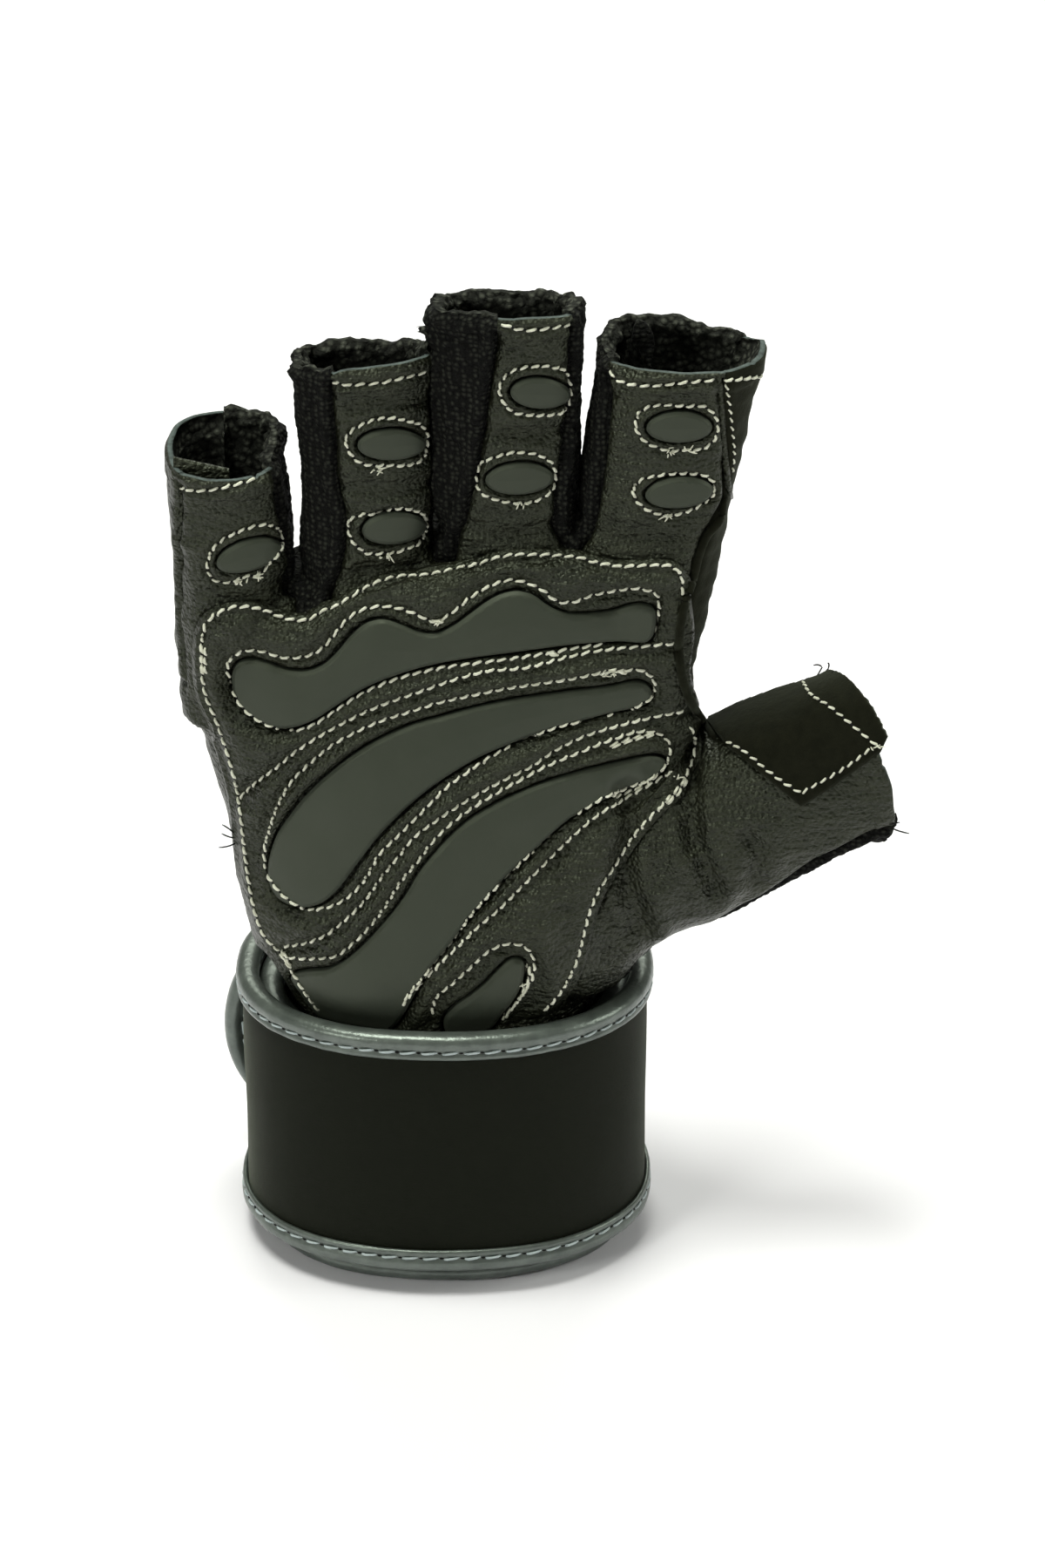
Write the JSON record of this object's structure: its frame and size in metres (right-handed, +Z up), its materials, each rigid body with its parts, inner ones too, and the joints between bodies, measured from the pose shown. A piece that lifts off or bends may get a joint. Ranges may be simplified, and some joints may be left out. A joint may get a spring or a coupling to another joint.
{
  "type": "weightlifting glove",
  "caption": "Right-hand half-finger weightlifting glove with padded leather palm, knitted back and a bound wrist strap, standing open on its cuff.",
  "frame": {"origin": "on the floor, below the middle of the glove's bounding box", "axes": "+Z up along the fingers, +X to the thumb, -Y out of the palm"},
  "size_m": [0.1414, 0.0762, 0.2011],
  "materials": {
    "leather": "grained, satin, near black",
    "suede": "napped suede, matt near black",
    "knit": "knitted mesh, matt black",
    "rubber": "smooth matt dark grey rubber",
    "elastic": "brushed matt black cloth over foam",
    "binding": "silver-grey coated tape, satin"
  },
  "bodies": {
    "root": {"palm_leather": "leather", "back_panel": "knit", "fourchette_pinky_ring": "knit", "fourchette_ring_middle": "knit", "fourchette_middle_index": "knit", "pinky_side_strip": "leather", "index_side_strip": "suede", "thumb_leather": "leather", "thumb_back": "knit", "thumb_patch": "suede", "palm_overlay": "leather", "grip_pad_upper": "rubber", "grip_pad_middle": "rubber", "grip_pad_lower": "rubber", "grip_pad_heel": "rubber", "dot_pinky": "rubber", "dot_ring_low": "rubber", "dot_ring_high": "rubber", "dot_middle_low": "rubber", "dot_middle_high": "rubber", "dot_index_low": "rubber", "dot_index_high": "rubber", "wrist_cuff": "elastic", "cuff_binding_top": "binding", "cuff_binding_bottom": "binding", "wrist_strap": "elastic", "strap_binding": "binding"}
  },
  "joints": []
}
